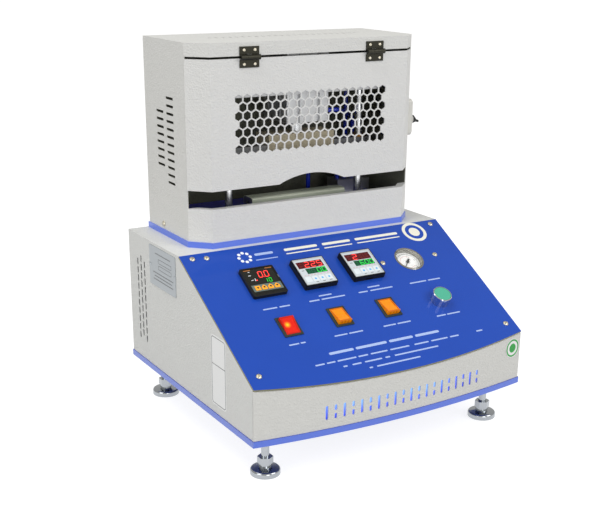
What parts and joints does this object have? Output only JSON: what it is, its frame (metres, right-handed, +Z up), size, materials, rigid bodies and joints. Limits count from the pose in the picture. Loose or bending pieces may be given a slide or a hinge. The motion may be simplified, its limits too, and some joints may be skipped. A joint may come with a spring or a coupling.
{
  "type": "bench heat sealer",
  "caption": "Bench heat-seal tester: a bowed sloping console on levelling feet, with a hinged perforated guard over an air-driven heated-jaw press.",
  "frame": {"origin": "on the bench under the middle of the bounding box", "axes": "+Z up, +X to the operator's right, the control panel faces -Y"},
  "size_m": [0.4033, 0.3816, 0.488],
  "materials": {
    "light_grey_powder_coat": "fine textured satin",
    "royal_blue_gloss": "gloss",
    "light_blue_enamel": "satin",
    "dark_blue_enamel": "satin",
    "bright_chrome": "polished",
    "zinc_plated_steel": "satin",
    "ground_steel": "ground",
    "white_anodised_aluminium": "satin",
    "plain_aluminium": "brushed",
    "brass": "satin",
    "black_plastic": "matt",
    "dark_grey_plastic": "matt",
    "silver_grey_plastic": "satin",
    "amber_key_plastic": "gloss",
    "red_lens_plastic": "gloss",
    "amber_lens_plastic": "gloss",
    "green_cap_plastic": "satin",
    "white_dial": "matt",
    "black_needle": "matt",
    "clear_glass": "clear",
    "lit_acrylic": "back-lit",
    "black_oxide_steel": "satin",
    "tan_laminate": "machined",
    "glass_cloth": "woven, non-stick",
    "blue_tube": "gloss",
    "bronze": "sintered",
    "black_rubber": "matt",
    "bare_label_plate": "satin"
  },
  "bodies": {
    "instrument": {"base_plate": "light_blue_enamel", "console_shell": "light_grey_powder_coat", "front_apron": "light_grey_powder_coat", "light_panel": "lit_acrylic", "control_panel": "royal_blue_gloss", "case_screws": "zinc_plated_steel", "rating_plate": "bare_label_plate", "mains_inlet": "black_plastic", "air_inlet": "brass", "timer_case": "black_plastic", "upper_controller_case": "black_plastic", "upper_controller_face": "silver_grey_plastic", "lower_controller_case": "black_plastic", "lower_controller_face": "silver_grey_plastic", "gauge_case": "bright_chrome", "gauge_dial": "white_dial", "gauge_lens": "clear_glass", "gauge_bracket": "zinc_plated_steel", "push_button_bezel": "bright_chrome", "mains_switch": "dark_grey_plastic", "upper_heater_switch": "dark_grey_plastic", "lower_heater_switch": "dark_grey_plastic", "tower_base": "light_blue_enamel", "tower_shell": "light_grey_powder_coat", "tower_apron": "light_grey_powder_coat", "hinge_fixed_leaves": "black_oxide_steel", "hinge_pins": "ground_steel", "hinge_screws": "zinc_plated_steel", "press_base": "dark_blue_enamel", "guide_rods": "bright_chrome", "press_head": "plain_aluminium", "air_cylinder": "white_anodised_aluminium", "air_fittings": "brass", "air_tubes": "blue_tube", "solenoid_valve": "plain_aluminium", "lower_jaw": "plain_aluminium", "jaw_cloth": "glass_cloth", "switch_box": "dark_grey_plastic"},
    "guard": {"guard_door": "light_grey_powder_coat", "hinge_door_leaves": "black_oxide_steel", "door_screws": "zinc_plated_steel"},
    "press": {"piston_rod": "ground_steel", "crosshead": "plain_aluminium", "guide_bushes": "bronze", "insulating_block": "tan_laminate", "upper_jaw": "plain_aluminium"},
    "mains_rocker_body": {"mains_rocker": "red_lens_plastic"},
    "upper_heater_rocker_body": {"upper_heater_rocker": "amber_lens_plastic"},
    "lower_heater_rocker_body": {"lower_heater_rocker": "amber_lens_plastic"},
    "start_button": {"push_button_cap": "green_cap_plastic"},
    "gauge_pointer": {"gauge_needle": "black_needle"},
    "toggle": {"toggle_lever": "black_rubber"},
    "timer_key_1_body": {"timer_key_1": "amber_key_plastic"},
    "timer_key_2_body": {"timer_key_2": "amber_key_plastic"},
    "timer_key_3_body": {"timer_key_3": "amber_key_plastic"},
    "timer_key_4_body": {"timer_key_4": "amber_key_plastic"},
    "front_left_foot_body": {"front_left_foot": "bright_chrome"},
    "front_right_foot_body": {"front_right_foot": "bright_chrome"},
    "back_left_foot_body": {"back_left_foot": "bright_chrome"},
    "back_right_foot_body": {"back_right_foot": "bright_chrome"}
  },
  "joints": [
    {"name": "guard_door_hinge", "type": "hinge", "parent": "instrument", "child": "guard", "pos_m": [0, 0.02415, 0.4703], "axis": [-1, 0, 0], "range_deg": [0, 100]},
    {"name": "press_slide", "type": "slide", "parent": "instrument", "child": "press", "axis": [0, 0, -1], "range_m": [0, 0.0285]},
    {"name": "mains_rocker_hinge", "type": "hinge", "parent": "instrument", "child": "mains_rocker_body", "pos_m": [-0.113, -0.10423, 0.16444], "axis": [-1, 0, 0], "range_deg": [0, 20]},
    {"name": "upper_heater_rocker_hinge", "type": "hinge", "parent": "instrument", "child": "upper_heater_rocker_body", "pos_m": [-0.0395, -0.10423, 0.16444], "axis": [1, 0, 0], "range_deg": [0, 20]},
    {"name": "lower_heater_rocker_hinge", "type": "hinge", "parent": "instrument", "child": "lower_heater_rocker_body", "pos_m": [0.034, -0.10423, 0.16444], "axis": [1, 0, 0], "range_deg": [0, 20]},
    {"name": "push_button_slide", "type": "slide", "parent": "instrument", "child": "start_button", "axis": [0, 0.4976, -0.8674], "range_m": [0, 0.0035], "stiffness_N_per_m": 600, "springref_m": -0.002},
    {"name": "timer_key_1_slide", "type": "slide", "parent": "instrument", "child": "timer_key_1_body", "axis": [0, 0.4976, -0.8674], "range_m": [0, 0.0008], "stiffness_N_per_m": 400, "springref_m": -0.0006},
    {"name": "timer_key_2_slide", "type": "slide", "parent": "instrument", "child": "timer_key_2_body", "axis": [0, 0.4976, -0.8674], "range_m": [0, 0.0008], "stiffness_N_per_m": 400, "springref_m": -0.0006},
    {"name": "timer_key_3_slide", "type": "slide", "parent": "instrument", "child": "timer_key_3_body", "axis": [0, 0.4976, -0.8674], "range_m": [0, 0.0008], "stiffness_N_per_m": 400, "springref_m": -0.0006},
    {"name": "timer_key_4_slide", "type": "slide", "parent": "instrument", "child": "timer_key_4_body", "axis": [0, 0.4976, -0.8674], "range_m": [0, 0.0008], "stiffness_N_per_m": 400, "springref_m": -0.0006},
    {"name": "gauge_needle_hinge", "type": "hinge", "parent": "instrument", "child": "gauge_pointer", "pos_m": [0.113, -0.03785, 0.19906], "axis": [0, 0.4976, -0.8674], "range_deg": [0, 270], "stiffness_Nm_per_rad": 0.0002, "springref_deg": -17.19},
    {"name": "toggle_hinge", "type": "hinge", "parent": "instrument", "child": "toggle", "pos_m": [0.1888, 0.06875, 0.37], "axis": [0, -1, 0], "range_deg": [0, 34]},
    {"name": "front_left_foot_height", "type": "slide", "parent": "instrument", "child": "front_left_foot_body", "axis": [0, 0, -1], "range_m": [-0.01, 0.01]},
    {"name": "front_right_foot_height", "type": "slide", "parent": "instrument", "child": "front_right_foot_body", "axis": [0, 0, -1], "range_m": [-0.01, 0.01]},
    {"name": "back_left_foot_height", "type": "slide", "parent": "instrument", "child": "back_left_foot_body", "axis": [0, 0, -1], "range_m": [-0.01, 0.01]},
    {"name": "back_right_foot_height", "type": "slide", "parent": "instrument", "child": "back_right_foot_body", "axis": [0, 0, -1], "range_m": [-0.01, 0.01]}
  ]
}
